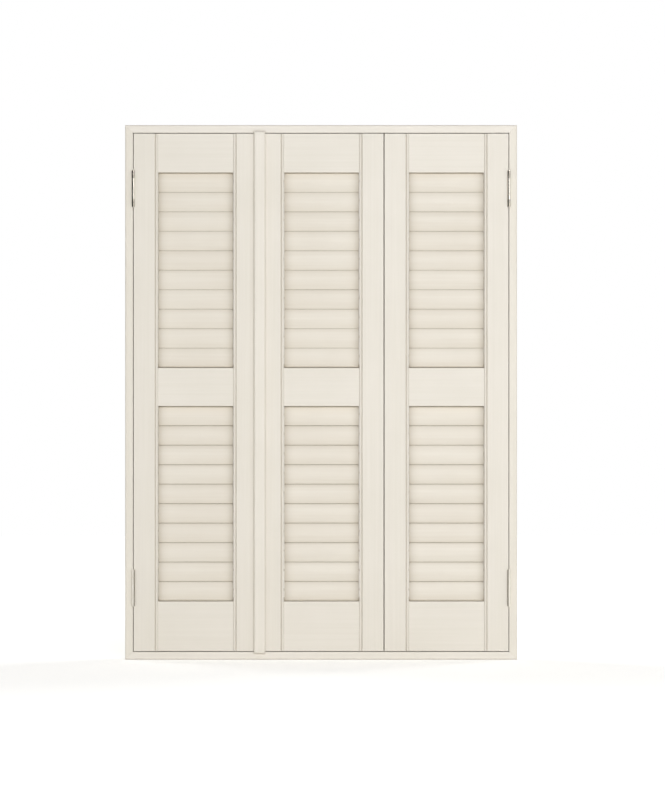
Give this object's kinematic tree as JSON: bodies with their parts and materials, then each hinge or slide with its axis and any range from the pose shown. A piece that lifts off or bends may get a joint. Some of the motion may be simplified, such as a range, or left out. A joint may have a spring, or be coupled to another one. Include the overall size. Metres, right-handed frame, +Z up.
{
  "type": "louvred shutters",
  "caption": "Louvred wooden window shutters in their own frame: a single panel hinged on the left and a folding pair hinged on the right, with a cover strip where they meet.",
  "frame": {"origin": "middle of the sill's underside, halfway through the frame's depth", "axes": "+Z up, -Y towards the room, +Y towards the window, +X to the right as seen from the room"},
  "size_m": [0.824, 0.0568, 1.124],
  "materials": {
    "frame_paint": "satin off-white paint on wood",
    "panel_paint": "satin off-white paint on wood",
    "louvre_paint": "satin off-white paint on wood",
    "cover_strip_paint": "satin off-white paint on wood",
    "hinge_metal": "bright plated steel",
    "magnet_metal": "nickel plated",
    "strike_steel": "zinc plated"
  },
  "bodies": {
    "frame": {"catch_magnets": "magnet_metal", "frame_head": "frame_paint", "frame_left_jamb": "frame_paint", "frame_right_jamb": "frame_paint", "frame_sill": "frame_paint", "head_stop": "frame_paint", "left_hinge_lower_carrier_leaf": "hinge_metal", "left_hinge_lower_pin": "hinge_metal", "left_hinge_upper_carrier_leaf": "hinge_metal", "left_hinge_upper_pin": "hinge_metal", "left_stop": "frame_paint", "right_hinge_lower_carrier_leaf": "hinge_metal", "right_hinge_lower_pin": "hinge_metal", "right_hinge_upper_carrier_leaf": "hinge_metal", "right_hinge_upper_pin": "hinge_metal", "right_stop": "frame_paint", "sill_stop": "frame_paint"},
    "left_panel": {"cover_strip": "cover_strip_paint", "left_hinge_lower_panel_leaf": "hinge_metal", "left_hinge_upper_panel_leaf": "hinge_metal", "left_panel_bottom_rail": "panel_paint", "left_panel_left_stile": "panel_paint", "left_panel_louvres": "louvre_paint", "left_panel_lower_tilt_bar": "louvre_paint", "left_panel_middle_rail": "panel_paint", "left_panel_right_stile": "panel_paint", "left_panel_strikes": "strike_steel", "left_panel_top_rail": "panel_paint", "left_panel_upper_tilt_bar": "louvre_paint"},
    "middle_panel": {"fold_hinge_lower_panel_leaf": "hinge_metal", "fold_hinge_upper_panel_leaf": "hinge_metal", "middle_panel_bottom_rail": "panel_paint", "middle_panel_left_stile": "panel_paint", "middle_panel_louvres": "louvre_paint", "middle_panel_lower_tilt_bar": "louvre_paint", "middle_panel_middle_rail": "panel_paint", "middle_panel_right_stile": "panel_paint", "middle_panel_strikes": "strike_steel", "middle_panel_top_rail": "panel_paint", "middle_panel_upper_tilt_bar": "louvre_paint"},
    "right_panel": {"fold_hinge_lower_carrier_leaf": "hinge_metal", "fold_hinge_lower_pin": "hinge_metal", "fold_hinge_upper_carrier_leaf": "hinge_metal", "fold_hinge_upper_pin": "hinge_metal", "right_hinge_lower_panel_leaf": "hinge_metal", "right_hinge_upper_panel_leaf": "hinge_metal", "right_panel_bottom_rail": "panel_paint", "right_panel_left_stile": "panel_paint", "right_panel_louvres": "louvre_paint", "right_panel_lower_tilt_bar": "louvre_paint", "right_panel_middle_rail": "panel_paint", "right_panel_right_stile": "panel_paint", "right_panel_top_rail": "panel_paint", "right_panel_upper_tilt_bar": "louvre_paint"}
  },
  "joints": [
    {"name": "left_panel_swing", "type": "hinge", "parent": "frame", "child": "left_panel", "pos_m": [-0.39475, -0.028, 0], "axis": [0, 0, -1], "range_deg": [0, 170]},
    {"name": "right_panel_swing", "type": "hinge", "parent": "frame", "child": "right_panel", "pos_m": [0.39475, -0.028, 0], "axis": [0, 0, 1], "range_deg": [0, 170]},
    {"name": "middle_panel_fold", "type": "hinge", "parent": "right_panel", "child": "middle_panel", "pos_m": [0.13633, 0.0064, 0], "axis": [0, 0, -1], "range_deg": [0, 180]}
  ],
  "couplings": [
    {"joint": "middle_panel_fold", "follows": "right_panel_swing", "ratio": 1.0588}
  ]
}
